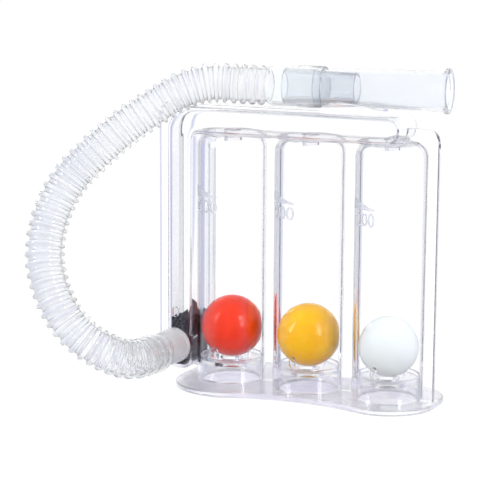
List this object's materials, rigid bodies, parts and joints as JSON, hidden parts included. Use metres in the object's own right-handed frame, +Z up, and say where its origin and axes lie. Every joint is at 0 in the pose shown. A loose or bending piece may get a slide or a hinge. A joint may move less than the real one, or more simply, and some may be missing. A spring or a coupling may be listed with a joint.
{
  "type": "incentive spirometer",
  "caption": "Flow incentive spirometer: clear upright body with a ball in each column, inverted-L air duct with foam filter, corrugated hose and a mouthpiece on a rest.",
  "frame": {"origin": "under the middle of the body's box, on the standing surface", "axes": "+X along the row of columns away from the duct, -Y to the front where the hose leaves, +Z up"},
  "size_m": [0.175, 0.1094, 0.1494],
  "materials": {
    "clear_body": "clear, polished",
    "clear_base": "frosted",
    "red_ball": "gloss",
    "yellow_ball": "gloss",
    "white_ball": "gloss, translucent",
    "foam": "open-cell foam",
    "hose": "milky, soft",
    "connector": "clear",
    "mouthpiece": "frosted"
  },
  "bodies": {
    "housing": {"front_shell": "clear_body", "rear_shell": "clear_body", "base_plate": "clear_base", "red_pedestal": "clear_body", "yellow_pedestal": "clear_body", "white_pedestal": "clear_body", "foam_filter": "foam", "hose": "hose", "hose_cuff_lower": "hose", "hose_cuff_upper": "hose", "mouthpiece_rest": "clear_body"},
    "red_ball": {"red_ball": "red_ball"},
    "yellow_ball": {"yellow_ball": "yellow_ball"},
    "white_ball": {"white_ball": "white_ball"},
    "connector": {"tube_connector": "connector"},
    "mouthpiece": {"mouthpiece": "mouthpiece"}
  },
  "joints": [
    {"name": "red_ball_rise", "type": "slide", "parent": "housing", "child": "red_ball", "axis": [0, 0, 1], "range_m": [0, 0.0726]},
    {"name": "yellow_ball_rise", "type": "slide", "parent": "housing", "child": "yellow_ball", "axis": [0, 0, 1], "range_m": [0, 0.0726]},
    {"name": "white_ball_rise", "type": "slide", "parent": "housing", "child": "white_ball", "axis": [0, 0, 1], "range_m": [0, 0.0745]},
    {"name": "connector_swivel", "type": "hinge", "parent": "housing", "child": "connector", "pos_m": [0.00405, -0.00139, 0.1394], "axis": [0.9903, 0.1392, 0], "continuous": true},
    {"name": "mouthpiece_pull", "type": "slide", "parent": "connector", "child": "mouthpiece", "axis": [0.9903, 0.1392, 0], "range_m": [0, 0.018]}
  ]
}
